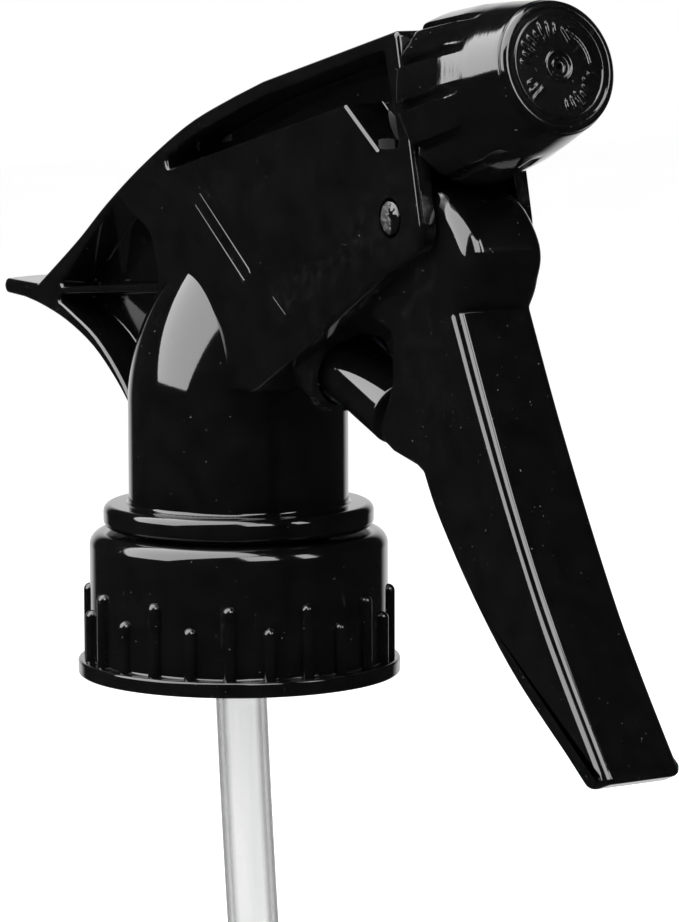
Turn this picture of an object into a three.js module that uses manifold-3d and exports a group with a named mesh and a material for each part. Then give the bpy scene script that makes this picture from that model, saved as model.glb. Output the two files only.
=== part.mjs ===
// Hand mister: a trigger spray head with its dip tube, in millimetres.
// Origin: centre of the neck gasket's underside, where the bottle's rim presses.
// +Z is up along the neck, +X is the way the spray goes, and the flat sides face -Y and +Y.
import * as THREE from 'three';
import { mergeVertices } from 'three/addons/utils/BufferGeometryUtils.js';
import Module from 'manifold-3d';

const wasm = await Module();
wasm.setup();

// ---- Driving dimensions ----

const gap = 0.3; // running clearance between pieces that would touch

// Closure nut, a 28 mm neck finish.
const nutTop = 3.5;
const nutBottom = -12.4;
const nutRadius = 16.5;
const rimRadius = 17.85;
const rimHeight = 1.7;
const ribCount = 24;
const ribRadius = 0.75;
const ribTurn = THREE.MathUtils.degToRad(-5.4);
const tallRibHeight = 8.1;
const shortRibHeight = 5.7;
const nutBore = 14.3;
const nutWeb = 1.1; // thickness of the nut's top web
const nutHole = 10.4;
const threadPitch = 4.2;
const threadDepth = 1.1;

// Body: base ring, neck and dome.
const ringBottom = nutTop + 0.35;
const ringTop = 6.5;
const ringRadius = 14.95;
const neckRadius = 12.15;
const neckBore = 10.2;
const neckBoreTop = 13.5;
const domeBase = 17.5;
const domeTop = 32.3;
const domeTopRadius = 7;
const bodyHalfWidth = 7;

// Nozzle axis: runs forward and up, through the nozzle's front face.
const nozzleTilt = THREE.MathUtils.degToRad(14.4);
const nozzleFront = new THREE.Vector3(60.65, 0, 56.8);
const nozzleAxis = new THREE.Vector3(Math.cos(nozzleTilt), 0, Math.sin(nozzleTilt));
const wallToFront = 17.9; // from the body's front wall to the nozzle cap's face
const barrelRadius = 4.9;
const barrelLength = 12.6;
const barrelBore = 3.4;
const outletBore = 1.2;
const outletSeat = -9.6; // along the nozzle axis, from the front wall
const springSeat = -5;

// Nozzle cap.
const capRear = 0.9;
const capFrontRadius = 6.55;
const crownRadius = 9; // over the grip lobes, near the rear
const valleyRadius = 7.95; // at the bottom of the grooves between the lobes
const capBore = 5.95;
const capBoreEnd = 13.4;
const capWallInside = 16.2; // inner face of the cap's front wall
const lobeCount = 12;
const lobeTurn = THREE.MathUtils.degToRad(10.9);
const orificeRadius = 0.35;
const sealAt = 9.3;
const sealWire = 0.4;

// Pump axis: runs forward and down, out of the pump chamber's mouth.
const pumpTilt = THREE.MathUtils.degToRad(22);
const pumpMouth = new THREE.Vector3(23.3, 0, 23.4);
const pumpAxis = new THREE.Vector3(Math.cos(pumpTilt), 0, -Math.sin(pumpTilt));
const chamberRadius = 4.4;
const chamberDepth = 22;
const housingRadius = 5.6;
const housingFloor = 18.7;
const rodRadius = 3.7;
const rodBore = 2.5;
const rodShoulder = 10.2; // where the thick rod ends, from the mouth
const rodRearRadius = 3.25;
const rodRear = -10;
const sealLength = 6.4;

// Trigger.
const pivot = new THREE.Vector3(40.8, 0, 40.8);
const pinRadius = 1.75;
const pinLength = 14.8;
const pinHoleRadius = 2.05;
const triggerHalfWidth = 4.85;
const triggerWall = 1.6;
const triggerSlot = triggerHalfWidth + gap;
const webAt = 14.8; // along the pump axis, from the chamber's mouth to the trigger's cross web
const webThickness = 1.4;

// Riser duct, inlet valve and dip tube.
const riserX = -3;
const riserRadius = 1.5;
const tubeRadius = 2.85;
const tubeBore = 2.15;
const socketBottom = -9;
const inletBallRadius = 1.6;
const outletBallRadius = 2.0;

// ---- Geometry helpers ----

/** A closed manifold solid made from a three.js geometry. */
function solid(geometry) {
  geometry.deleteAttribute('normal');
  geometry.deleteAttribute('uv');
  const merged = mergeVertices(geometry, 1e-5);
  const corners = merged.attributes.position.array;
  const kept = [];
  let volume = 0;
  const a = new THREE.Vector3();
  const b = new THREE.Vector3();
  const c = new THREE.Vector3();
  for (let i = 0; i < merged.index.count; i += 3) {
    const [p, q, r] = [0, 1, 2].map((k) => merged.index.getX(i + k));
    if (p === q || q === r || r === p) continue;
    kept.push(p, q, r);
    a.fromArray(corners, 3 * p);
    b.fromArray(corners, 3 * q);
    c.fromArray(corners, 3 * r);
    volume += a.dot(b.cross(c));
  }
  if (volume < 0) kept.reverse();
  return new wasm.Manifold(new wasm.Mesh({
    numProp: 3,
    vertProperties: Float32Array.from(corners),
    triVerts: Uint32Array.from(kept),
  }));
}

/** Adds a list of solids into one. */
function joined(solids) {
  return solids.reduce((whole, piece) => whole.add(piece));
}

/** Places a geometry built along +Z so that its Z axis lies along direction, from origin. */
function aimed(geometry, origin, direction) {
  const turn = new THREE.Quaternion().setFromUnitVectors(new THREE.Vector3(0, 0, 1), direction);
  return geometry.applyQuaternion(turn).translate(origin.x, origin.y, origin.z);
}

/** A turned shape about +Z from a profile of [radius, height] pairs that starts and ends on the axis. */
function turned(profile, segments = 48) {
  const points = profile.map(([radius, height]) => new THREE.Vector2(radius, height));
  return new THREE.LatheGeometry(points, segments).rotateX(Math.PI / 2);
}

/** A turned ring about +Z from a closed profile that stays off the axis. */
function turnedRing(profile, segments = 48) {
  return turned([...profile, profile[0]], segments);
}

/** A rod about +Z between two heights. */
function rod(radius, bottom, top, segments = 32) {
  return turned([[0, bottom], [radius, bottom], [radius, top], [0, top]], segments);
}

/** A tube about +Z between two heights. */
function pipe(outer, inner, bottom, top, segments = 40) {
  return turnedRing([[inner, bottom], [outer, bottom], [outer, top], [inner, top]], segments);
}

/** A side outline of [x, z] points, extruded across Y. */
function slab(outline, halfWidth, centre = 0) {
  const shape = new THREE.Shape(outline.map(([x, z]) => new THREE.Vector2(x, z)));
  const options = { depth: 2 * halfWidth, bevelEnabled: false, curveSegments: 8 };
  return new THREE.ExtrudeGeometry(shape, options).rotateX(Math.PI / 2).translate(0, centre + halfWidth, 0);
}

/** Points on an arc about a centre, from one angle to another in degrees. */
function arc(centreX, centreZ, radius, from, to, steps) {
  return Array.from({ length: steps + 1 }, (_, i) => {
    const angle = THREE.MathUtils.degToRad(from + ((to - from) * i) / steps);
    return [centreX + radius * Math.cos(angle), centreZ + radius * Math.sin(angle)];
  });
}

/** Points on a smooth curve through a few [x, z] knots. */
function smooth(knots, steps) {
  const curve = new THREE.SplineCurve(knots.map(([x, z]) => new THREE.Vector2(x, z)));
  return curve.getPoints(steps).map((p) => [p.x, p.y]);
}

/** A solid built along the nozzle axis, with heights counted forward from the front wall. */
function onNozzle(geometry) {
  const wall = nozzleFront.clone().addScaledVector(nozzleAxis, -wallToFront);
  return aimed(geometry, wall, nozzleAxis);
}

/** A solid built along the pump axis, with heights counted forward from the chamber's mouth. */
function onPump(geometry) {
  return aimed(geometry, pumpMouth, pumpAxis);
}

/** A helix about +Z, for springs. */
class Helix extends THREE.Curve {
  constructor(radius, bottom, length, coils) {
    super();
    Object.assign(this, { radius, bottom, length, coils });
  }

  getPoint(t, target = new THREE.Vector3()) {
    const angle = 2 * Math.PI * this.coils * t;
    const height = this.bottom + this.length * t;
    return target.set(this.radius * Math.cos(angle), this.radius * Math.sin(angle), height);
  }
}

/** A round wire or tube section swept along a path. */
function swept(path, outer, steps, segments = 10, inner = 0) {
  const section = new THREE.Shape().absarc(0, 0, outer, 0, 2 * Math.PI);
  if (inner > 0) section.holes.push(new THREE.Path().absarc(0, 0, inner, 0, 2 * Math.PI, true));
  return new THREE.ExtrudeGeometry(section, {
    steps, extrudePath: path, curveSegments: segments, bevelEnabled: false,
  });
}

/** A coil spring about +Z. */
function coil(meanRadius, wire, bottom, top, coils) {
  const path = new Helix(meanRadius, bottom + wire, top - bottom - 2 * wire, coils);
  return swept(path, wire, coils * 10, 3);
}

const glossBlack = { color: 0x0b0b0c, roughness: 0.22, metalness: 0 };
const naturalPlastic = { color: 0xe6e6e0, roughness: 0.4, metalness: 0 };
const steel = { color: 0xb8babd, roughness: 0.3, metalness: 1 };

/** A named mesh from a manifold solid. */
function node(name, shape, look) {
  const mesh = shape.getMesh();
  const geometry = new THREE.BufferGeometry();
  geometry.setAttribute('position', new THREE.BufferAttribute(mesh.vertProperties, 3));
  geometry.setIndex(new THREE.BufferAttribute(mesh.triVerts, 1));
  const made = new THREE.Mesh(geometry, new THREE.MeshStandardMaterial(look));
  made.name = name;
  return made;
}

// ---- Body ----

/** Roof line from the front wall's top back to the tail's root. */
function roofLine() {
  return [
    [42.1, 59.9],
    [16.3, 53.7],
    ...smooth([[10.5, 51.9], [1.2, 48.6], [-8.6, 43.7], [-16.6, 38.9], [-23.4, 34.2], [-32.6, 28.5]], 14),
  ];
}

/** Web line under the hand, from the tail's root down to the neck. */
function handLine() {
  return smooth([[-36, 26.7], [-31.8, 26.1], [-26, 24.7], [-20, 22.3], [-14.9, 18.9], [-11.2, 15.6]], 10);
}

/** The whole side outline, with the tail and both lower corners. */
function sideOutline() {
  return [
    ...roofLine(),
    [-41.8, 28.6],
    [-42.3, 27.6],
    [-41.8, 26.9],
    ...handLine(),
    [5, 14.8],
    [8.5, 20.2],
    ...arc(13.4, 23.3, 3, 264, 302, 3),
    [42.4, 36.4],
    ...arc(43.5, 39.9, 3, 302, 374, 6),
  ];
}

/** The recess between roof and side plate, above the plate's sloped top edge. */
function topRecess() {
  const roof = [[39.6, 57.8], [16.6, 52.1], [10.9, 50.3], [2.0, 47.2], [-3.6, 44.6]];
  return [...roof, [-3.1, 43.3], [32.4, 52.0], [38.6, 47.6], [42.4, 48.0]];
}

/** The recess behind the plate, above the level rib. */
function rearRecess() {
  const edge = [[-13.9, 39.7], [-10.7, 37.9], [-7.3, 36.2], [-6.2, 34.1], [-5.2, 30.7]];
  return [...edge, [-28.0, 28.5], [-21.5, 33.8]];
}

/** The recess below the level rib, above the strip under the hand. */
function lowerRecess() {
  return [[-28.2, 27.2], [-24.5, 25.8], [-19.2, 23.5], [-13.9, 19.6], [-9.5, 14.8], [4, 14.8], [-3, 29.9]];
}

/** The pocket between the side plates that the trigger swings in. */
function triggerPocket() {
  return [[52, 46.4], [37, 46.4], [33, 44.2], [28, 38.5], [26.9, 30.5], [23.4, 22], [22, 14], [52, 14]];
}

/** Neck, base ring and dome as one turned profile. */
function neckAndDome() {
  const rise = domeTop - domeBase;
  const run = neckRadius - domeTopRadius;
  const radius = (rise * rise + run * run) / (2 * run);
  const sweep = THREE.MathUtils.radToDeg(Math.asin(rise / radius));
  const edge = 0.9;
  return solid(turned([
    [0, ringBottom],
    [ringRadius - edge, ringBottom],
    ...arc(ringRadius - edge, ringBottom + edge, edge, -90, 0, 3),
    ...arc(ringRadius - edge, ringTop - edge, edge, 0, 90, 3),
    [neckRadius + 0.3, ringTop],
    [neckRadius, ringTop + 0.4],
    ...arc(neckRadius - radius, domeBase, radius, 0, sweep, 7),
    [0, domeTop],
  ], 48));
}

/** Everything inside the body that is open: ducts, chamber, pocket and bores. */
function bodyOpenings() {
  const ballRoom = outletBallRadius + 0.4;
  const barrelHollow = turned([
    [0, -60], [outletBore, -60], [outletBore, outletSeat],
    [ballRoom, outletSeat + ballRoom - outletBore], [ballRoom, springSeat],
    [barrelBore, springSeat], [barrelBore, barrelLength + 1], [0, barrelLength + 1],
  ], 32);
  const ductRear = riserX - riserRadius;
  const frontOfDuct = solid(slab([[ductRear, 30], [80, 30], [80, 90], [ductRear, 90]], 20));
  const chamber = onPump(rod(chamberRadius, -chamberDepth, 30, 40));
  const port = onPump(rod(1, -chamberDepth - 6, -chamberDepth + 1, 16));
  const neckRoom = turned([
    [0, -5], [neckBore, -5], [neckBore, neckBoreTop], [neckBore - 2, neckBoreTop + 1.5],
    [0, neckBoreTop + 1.5],
  ], 48);
  const vent = rod(0.6, neckBoreTop, 24, 12).translate(8.5, 0, 0);
  const pinHole = aimed(rod(pinHoleRadius, -12, 12, 32), pivot, new THREE.Vector3(0, 1, 0));
  return joined([
    solid(onNozzle(barrelHollow)).intersect(frontOfDuct),
    solid(chamber),
    solid(port),
    solid(neckRoom),
    solid(rod(riserRadius, 10, 40.4, 24).translate(riserX, 0, 0)),
    solid(vent),
    solid(pinHole),
    solid(slab(triggerPocket(), triggerSlot)),
  ]);
}

/** The post inside the neck that the tube holder plugs into, carrying the riser duct. */
function riserBoss() {
  return solid(pipe(5.4, 3.35, 9.2, neckBoreTop + 3, 36)).add(
    solid(rod(5.4, neckBoreTop - 0.2, neckBoreTop + 3, 36)));
}

/** The threaded barrel that carries the nozzle cap. */
function barrel() {
  const profile = [[0, -12], [barrelRadius, -12], [barrelRadius, 2.6]];
  const crest = barrelRadius + 0.6;
  for (let ring = 0; ring < 3; ring += 1) {
    const start = 2.6 + 2.2 * ring;
    profile.push([crest, start + 0.3], [crest, start + 0.8], [barrelRadius, start + 1.1]);
  }
  profile.push([barrelRadius, barrelLength - 0.4], [barrelRadius - 0.4, barrelLength], [0, barrelLength]);
  return solid(onNozzle(turned(profile, 30)));
}

/** Raised slot outline moulded on each side plate. */
function plateMark(side) {
  const radians = THREE.MathUtils.degToRad(-37.2);
  const length = 12.3;
  const bar = (halfWidth) => {
    const shape = new THREE.Shape();
    shape.moveTo(0, halfWidth);
    shape.lineTo(length, halfWidth);
    shape.absarc(length, 0, halfWidth, Math.PI / 2, -Math.PI / 2, true);
    shape.lineTo(0, -halfWidth);
    return shape;
  };
  const shape = bar(0.95);
  const options = { depth: 0.3, bevelEnabled: false, curveSegments: 6 };
  const placed = (made) => made.rotateX(Math.PI / 2).rotateY(-radians)
    .translate(3.2, side > 0 ? bodyHalfWidth + 0.15 : -bodyHalfWidth + 0.15, 40.4);
  const outer = solid(placed(new THREE.ExtrudeGeometry(shape, options)));
  const inner = solid(placed(new THREE.ExtrudeGeometry(bar(0.65), { ...options, depth: 0.31 })));
  return outer.subtract(inner);
}

function body() {
  const plan = solid(slab([[-28, 0], [80, 0], [80, 80], [-28, 80]], 20))
    .add(solid(rod(13.8, 0, 80, 60).translate(-28.1, 0, 0)));
  const recessDepth = 4.6;
  const recesses = [];
  for (const side of [-1, 1]) {
    const centre = side * (bodyHalfWidth - recessDepth / 2 + 1);
    for (const outline of [topRecess(), rearRecess(), lowerRecess()]) {
      recesses.push(solid(slab(outline, recessDepth / 2 + 1, centre)));
    }
  }
  const housingRoom = solid(slab([[-5, housingFloor], [60, housingFloor], [60, 60], [-5, 60]], 20));
  const housing = solid(onPump(rod(housingRadius, -chamberDepth - 1.5, 0, 40))).intersect(housingRoom);
  const shell = solid(slab(sideOutline(), bodyHalfWidth)).intersect(plan).subtract(joined(recesses));
  const solids = [shell, neckAndDome(), housing, barrel(), plateMark(-1), plateMark(1)];
  const hollow = bodyOpenings();
  return joined(solids).subtract(hollow).add(riserBoss().subtract(
    solid(rod(riserRadius, 8, 20, 24).translate(riserX, 0, 0))));
}

// ---- Closure ----

/** One rounded grip rib standing on the nut's skirt. */
function nutRib(index) {
  const height = index % 2 === 0 ? tallRibHeight : shortRibHeight;
  const foot = nutBottom + 0.8;
  const top = nutBottom + rimHeight + height;
  const rib = turned([
    [0, foot], [ribRadius, foot], [ribRadius, top - 0.8], [ribRadius * 0.7, top - 0.25], [0, top],
  ], 8);
  const angle = ribTurn + (2 * Math.PI * index) / ribCount;
  return solid(rib.translate(nutRadius, 0, 0).rotateZ(angle));
}

/** The inside thread: two turns of a rounded ridge on the nut's bore. */
function nutThread() {
  const turns = 1.6;
  const ridge = swept(new Helix(nutBore + 0.15, -9.4, threadPitch * turns, turns), threadDepth, 36, 3);
  return solid(ridge).intersect(solid(rod(nutBore + 0.5, -13, 0, 48)));
}

function closureNut() {
  const edge = 1.6;
  const shell = turned([
    [0, nutBottom],
    [rimRadius - 0.3, nutBottom],
    [rimRadius, nutBottom + 0.3],
    [rimRadius, nutBottom + rimHeight - 0.3],
    [rimRadius - 0.3, nutBottom + rimHeight],
    [nutRadius, nutBottom + rimHeight],
    ...arc(nutRadius - edge, nutTop - edge, edge, 0, 90, 4),
    [0, nutTop],
  ], 60);
  const room = turned([
    [0, nutBottom - 1], [nutBore, nutBottom - 1], [nutBore, nutTop - nutWeb], [0, nutTop - nutWeb],
  ], 48);
  const ribs = Array.from({ length: ribCount }, (_, index) => nutRib(index));
  return joined([solid(shell), ...ribs])
    .subtract(solid(room))
    .subtract(solid(rod(nutHole, nutBottom, nutTop + 1, 48)))
    .add(nutThread());
}

/** The plug that holds the dip tube, seats the inlet ball and keeps the nut on the neck. */
function tubeHolder() {
  const flangeBottom = 0.8 + gap;
  const flangeTop = nutTop - nutWeb - gap;
  const outside = turned([
    [0, socketBottom], [4.4, socketBottom], [4.4, flangeBottom], [12.8, flangeBottom], [12.8, flangeTop],
    [9.9, flangeTop], [9.9, 8.6], [9.4, 9.0], [8.4, 9.0], [8.4, 3.4],
    [4.8, 3.4], [4.8, 8.9], [3.05, 8.9], [3.05, 12.6], [0, 12.6],
  ], 48);
  const inside = turned([
    [0, socketBottom - 1], [tubeRadius + gap, socketBottom - 1], [tubeRadius + gap, 2.4], [1.1, 2.4],
    [1.1, 4.2], [2.1, 5.4], [2.1, 13.6], [0, 13.6],
  ], 32);
  return solid(outside).subtract(solid(inside));
}

function neckGasket() {
  return solid(pipe(13.3, 8.2, 0, 0.8, 48));
}

/** The ring that keeps the inlet ball in its chamber. */
function ballCage() {
  const ring = solid(pipe(1.85, 1.1, 9.6, 11.4, 24));
  const bar = solid(new THREE.BoxGeometry(2.9, 0.7, 0.8).translate(0, 0, 10));
  return ring.add(bar);
}

function ball(radius) {
  return new THREE.SphereGeometry(radius, 14, 9);
}

/** Leaves the socket upright, then bows forward as coiled tube does. */
class TubeBow extends THREE.Curve {
  getPoint(t, target = new THREE.Vector3()) {
    const upright = 9.5;
    const length = 190;
    const down = t * length;
    const free = Math.max(0, down - upright);
    const settle = 3;
    const lean = 0.06 * (free - settle * (1 - Math.exp(-free / settle)));
    const bow = 0.0007 * free * free;
    return target.set(lean + bow, 0, 2.1 - down);
  }
}

function dipTube() {
  const tube = solid(swept(new TubeBow(), tubeRadius, 24, 7, tubeBore));
  const slant = new THREE.BoxGeometry(80, 30, 60).rotateY(0.5);
  return tube.subtract(solid(slant.translate(20, 0, -208)));
}

// ---- Pump ----

function pistonRod() {
  const profile = [
    [0, rodRear],
    [rodRearRadius, rodRear],
    [rodRearRadius, rodRear + 7],
    [rodRadius, rodRear + 7],
    [rodRadius, rodShoulder - 0.4],
    [rodRadius - 0.4, rodShoulder],
    [2.0, rodShoulder],
    [2.0, 16.3],
    [2.9, 16.6],
    [2.9, 17.4],
    [1.8, 18.6],
    [0, 19],
  ];
  const hollow = rod(rodBore, rodRear - 1, 6, 28);
  return solid(onPump(turned(profile, 36))).subtract(solid(onPump(hollow)));
}

/** The sliding seal round the rod's rear end, with a lip at each end. */
function pistonSeal() {
  const inner = rodRearRadius + gap;
  const lip = chamberRadius - gap;
  const start = rodRear + 0.1;
  const end = start + sealLength;
  return solid(onPump(turnedRing([
    [inner, start], [lip - 0.25, start], [lip, start + 0.5], [lip - 0.35, start + 2.2],
    [lip - 0.35, end - 2.2], [lip, end - 0.5], [lip - 0.25, end], [inner, end],
  ], 36)));
}

function returnSpring() {
  return solid(onPump(coil(1.8, 0.35, -chamberDepth + gap, 6 - gap, 11)));
}

// ---- Trigger ----

/** Front face of the trigger, from its head down to the finger tip. */
function triggerFront() {
  return smooth([
    [45.0, 44.0], [48.6, 42.3], [51.3, 39.2], [51.9, 36.5], [50.8, 33.6], [49.4, 31.7], [50.4, 29.6],
    [53.8, 22.6], [58.6, 13.4], [64.0, 4.0], [68.9, -3.4], [74.9, -11.6],
  ], 33);
}

/** Rear edge of the trigger's side walls, from the tip up past the pump rod to the head. */
function triggerRear() {
  return [
    [74.8, -12.8],
    [73.0, -13.2],
    [71.2, -12.2],
    ...smooth([[68.6, -10.4], [59.7, -3.8], [52.4, 3.3], [46.2, 10.7], [43.6, 14.9]], 10),
    [42.4, 15.5],
    [38.0, 16.5],
    [36.6, 17.2],
    [35.5, 18.5],
    [36.2, 20.0],
    [37.4, 21.9],
    [37.9, 23.8],
    [37.9, 28.8],
    [33.3, 30.1],
    [34.6, 33.5],
    ...arc(pivot.x, pivot.z, 4.4, 215, 75, 8),
  ];
}

/** The room inside the trigger's channel, behind its front wall and open to the rear. */
function triggerChannel() {
  const wall = 1.9;
  const inner = triggerFront().filter(([, z]) => z < 40 && z > -9.5).map(([x, z]) => [x - wall, z - 0.4]);
  return [[30, 46], [39, 46], [45.2, 42.0], ...inner, [62, -20], [30, -6]];
}

/** The slotted web across the channel that the rod's head hooks onto. */
function triggerWeb() {
  const toRod = pumpMouth.clone().addScaledVector(pumpAxis, webAt).sub(pivot);
  const reach = toRod.length();
  toRod.normalize();
  const plate = new THREE.BoxGeometry(2 * triggerHalfWidth - 1, webThickness, 9);
  const slot = new THREE.BoxGeometry(4.8, webThickness + 2, 9);
  plate.rotateZ(Math.PI / 2).translate(0, 0, reach - 0.6);
  slot.rotateZ(Math.PI / 2).translate(0, 0, reach + 1.6);
  return solid(aimed(plate, pivot, toRod)).subtract(solid(aimed(slot, pivot, toRod)));
}

function trigger() {
  const outer = solid(slab([...triggerFront(), ...triggerRear()], triggerHalfWidth));
  const channel = solid(slab(triggerChannel(), triggerHalfWidth - triggerWall));
  const pinHole = aimed(rod(pinHoleRadius, -12, 12, 28), pivot, new THREE.Vector3(0, 1, 0));
  return outer.subtract(channel).add(triggerWeb().intersect(outer)).subtract(solid(pinHole));
}

function triggerPin() {
  const half = pinLength / 2;
  return solid(aimed(rod(pinRadius, -half, half, 28), pivot, new THREE.Vector3(0, 1, 0)));
}

// ---- Nozzle ----

function outletSpring() {
  return solid(onNozzle(coil(1.9, 0.3, -5.3, 2.4, 6)));
}

/** The swirl core: a plug in the barrel with a grooved nose under the orifice. */
function swirlCore() {
  const plug = turned([
    [0, 2.7], [barrelBore - gap, 2.7], [barrelBore - gap, barrelLength + gap], [4.6, barrelLength + gap],
    [4.6, barrelLength + 1.1], [2.3, barrelLength + 1.1], [2.3, 15.8], [0, 15.8],
  ], 32);
  const grooves = [0, 1, 2].map((index) => {
    const groove = new THREE.BoxGeometry(1.1, 1.0, 12.5).translate(barrelBore - gap, 0, 8.2);
    return solid(onNozzle(groove.rotateZ((2 * Math.PI * index) / 3)));
  });
  const swirl = [0, 1].map((index) => {
    const channel = new THREE.BoxGeometry(4, 0.6, 0.8).translate(1.4, 0.9, 15.8);
    return solid(onNozzle(channel.rotateZ(Math.PI * index)));
  });
  return solid(onNozzle(plug)).subtract(joined([...grooves, ...swirl]));
}

function nozzleSeal() {
  const centre = barrelRadius + gap + sealWire;
  return solid(onNozzle(turnedRing(arc(centre, sealAt, sealWire, 0, 315, 7), 32)));
}

/** One groove between two grip lobes, parallel to the axis, so it fades out as the cap narrows. */
function capGroove(index) {
  const reach = 1.85;
  const halfWidth = 1.65;
  const length = 14;
  const shape = new THREE.Shape();
  shape.moveTo(valleyRadius, 0);
  shape.lineTo(valleyRadius + reach, halfWidth);
  shape.lineTo(valleyRadius + reach, -halfWidth);
  const groove = new THREE.ExtrudeGeometry(shape, { depth: length, bevelEnabled: false });
  return solid(onNozzle(groove.rotateZ(lobeTurn + (2 * Math.PI * (index + 0.5)) / lobeCount)));
}

/** What is sunk in the cap's face: a ring, a round boss's ring and the dimple of the spray hole. */
function capFaceMarks() {
  const depth = 0.3;
  const face = wallToFront - depth;
  const ring = pipe(5.35, 5.1, face, wallToFront + 1, 32);
  const boss = pipe(1.5, 1.2, face, wallToFront + 1, 20);
  const dimple = turned([[0, face - 0.2], [0.8, face - 0.2], [0.8, wallToFront + 1], [0, wallToFront + 1]], 20);
  return joined([ring, boss, dimple].map((made) => solid(onNozzle(made))));
}

function nozzleCap() {
  const sealGroove = barrelRadius + 2 * gap + 2 * sealWire;
  const outside = turned([
    [0, capRear], [valleyRadius - 0.1, capRear], [crownRadius - 0.4, capRear + 0.5],
    [crownRadius - 0.1, capRear + 1.1], [crownRadius, capRear + 1.7], [8.3, 8.5], [7.75, 12.5],
    [6.85, wallToFront - 0.9], [capFrontRadius, wallToFront - 0.6],
    [capFrontRadius, wallToFront - 0.2], [capFrontRadius - 0.2, wallToFront], [0, wallToFront],
  ], 72);
  const inside = turned([
    [0, capRear - 1], [capBore, capRear - 1], [capBore, sealAt - 0.75], [sealGroove, sealAt - 0.7],
    [sealGroove, sealAt + 0.7], [capBore, sealAt + 0.75], [capBore, capBoreEnd], [4.9, capBoreEnd + 0.7],
    [2.7, capBoreEnd + 0.7], [2.7, capWallInside], [0, capWallInside],
  ], 40);
  const orifice = solid(onNozzle(rod(orificeRadius, 14, wallToFront + 1, 12)));
  const grooves = Array.from({ length: lobeCount }, (_, index) => capGroove(index));
  return solid(onNozzle(outside))
    .subtract(joined(grooves))
    .subtract(solid(onNozzle(inside)))
    .subtract(orifice)
    .subtract(capFaceMarks());
}

// ---- Assembly ----

function outletBall() {
  return solid(onNozzle(ball(outletBallRadius).translate(0, 0, outletSeat + 2)));
}

function inletBall() {
  return solid(ball(inletBallRadius).translate(0, 0, 5.8));
}

const part = new THREE.Group();
part.name = 'hand_mister';
part.add(
  node('body', body(), glossBlack),
  node('closure_nut', closureNut(), glossBlack),
  node('tube_holder', tubeHolder(), naturalPlastic),
  node('neck_gasket', neckGasket(), { color: 0xd8d8d2, roughness: 0.6, metalness: 0 }),
  node('inlet_ball', inletBall(), steel),
  node('ball_cage', ballCage(), naturalPlastic),
  node('dip_tube', dipTube(), { color: 0xf2f4f4, roughness: 0.35, metalness: 0 }),
  node('piston_rod', pistonRod(), glossBlack),
  node('piston_seal', pistonSeal(), naturalPlastic),
  node('return_spring', returnSpring(), steel),
  node('trigger', trigger(), glossBlack),
  node('trigger_pin', triggerPin(), glossBlack),
  node('outlet_ball', outletBall(), steel),
  node('outlet_spring', outletSpring(), steel),
  node('swirl_core', swirlCore(), naturalPlastic),
  node('nozzle_seal', nozzleSeal(), { color: 0x1a1a1a, roughness: 0.8, metalness: 0 }),
  node('nozzle_cap', nozzleCap(), glossBlack),
);

export default part;
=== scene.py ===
"""A hand mister's trigger spray head: gloss black mouldings, natural inner parts and a clear dip tube.

Lengths are written in millimetres, in the CAD's frame, and every mesh is made in metres.
Outlines are (x, z) pairs across the flat sides, and turned profiles are (radius, height) pairs.
"""

import math

import bmesh
import bpy
from mathutils import Matrix, Vector, noise


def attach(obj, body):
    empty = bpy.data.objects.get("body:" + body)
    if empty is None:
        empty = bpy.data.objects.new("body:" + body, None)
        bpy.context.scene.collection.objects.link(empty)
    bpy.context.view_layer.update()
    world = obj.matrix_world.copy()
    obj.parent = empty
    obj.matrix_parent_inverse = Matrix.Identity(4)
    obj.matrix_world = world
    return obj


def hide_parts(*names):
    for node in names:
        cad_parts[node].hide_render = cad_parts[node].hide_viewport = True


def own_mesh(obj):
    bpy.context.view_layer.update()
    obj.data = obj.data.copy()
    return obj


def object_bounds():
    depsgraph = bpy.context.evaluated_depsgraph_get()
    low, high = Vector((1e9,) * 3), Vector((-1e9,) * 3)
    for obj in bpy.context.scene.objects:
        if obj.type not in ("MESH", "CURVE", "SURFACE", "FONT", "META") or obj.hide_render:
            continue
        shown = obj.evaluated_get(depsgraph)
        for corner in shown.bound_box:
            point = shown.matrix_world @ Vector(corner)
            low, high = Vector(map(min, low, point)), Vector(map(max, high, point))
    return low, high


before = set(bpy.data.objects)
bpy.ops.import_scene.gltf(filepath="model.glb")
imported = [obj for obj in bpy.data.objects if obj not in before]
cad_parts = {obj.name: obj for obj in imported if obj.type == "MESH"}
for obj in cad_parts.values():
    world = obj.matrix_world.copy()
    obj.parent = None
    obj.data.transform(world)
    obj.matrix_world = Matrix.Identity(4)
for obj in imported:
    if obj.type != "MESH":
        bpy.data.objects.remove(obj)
cad_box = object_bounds()

MM = 0.001

# Body
BODY_HALF_WIDTH = 7.0
BODY_EDGE = 0.55
NOZZLE_TILT = math.radians(14.4)
NOZZLE_AXIS = Vector((math.cos(NOZZLE_TILT), 0, math.sin(NOZZLE_TILT)))
NOZZLE_FRONT = Vector((60.65, 0, 56.8))
WALL_TO_FRONT = 17.9
NOZZLE_WALL = NOZZLE_FRONT - NOZZLE_AXIS * WALL_TO_FRONT
PUMP_TILT = math.radians(22)
PUMP_AXIS = Vector((math.cos(PUMP_TILT), 0, -math.sin(PUMP_TILT)))
PUMP_MOUTH = Vector((23.3, 0, 23.4))
PIVOT = Vector((40.8, 0, 40.8))
RISER_X = -3.0

# Closure nut
NUT_TOP = 3.5
NUT_BOTTOM = -12.4
NUT_RADIUS = 16.5
RIM_RADIUS = 17.85
RIM_HEIGHT = 1.7
RIB_COUNT = 24
RIB_RADIUS = 0.75
RIB_TURN = math.radians(-5.4)

# Trigger
TRIGGER_HALF_WIDTH = 4.85
TRIGGER_WALL = 1.6
TRIGGER_GAP = 0.3
KNUCKLE = (49.4, 31.7)

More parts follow.
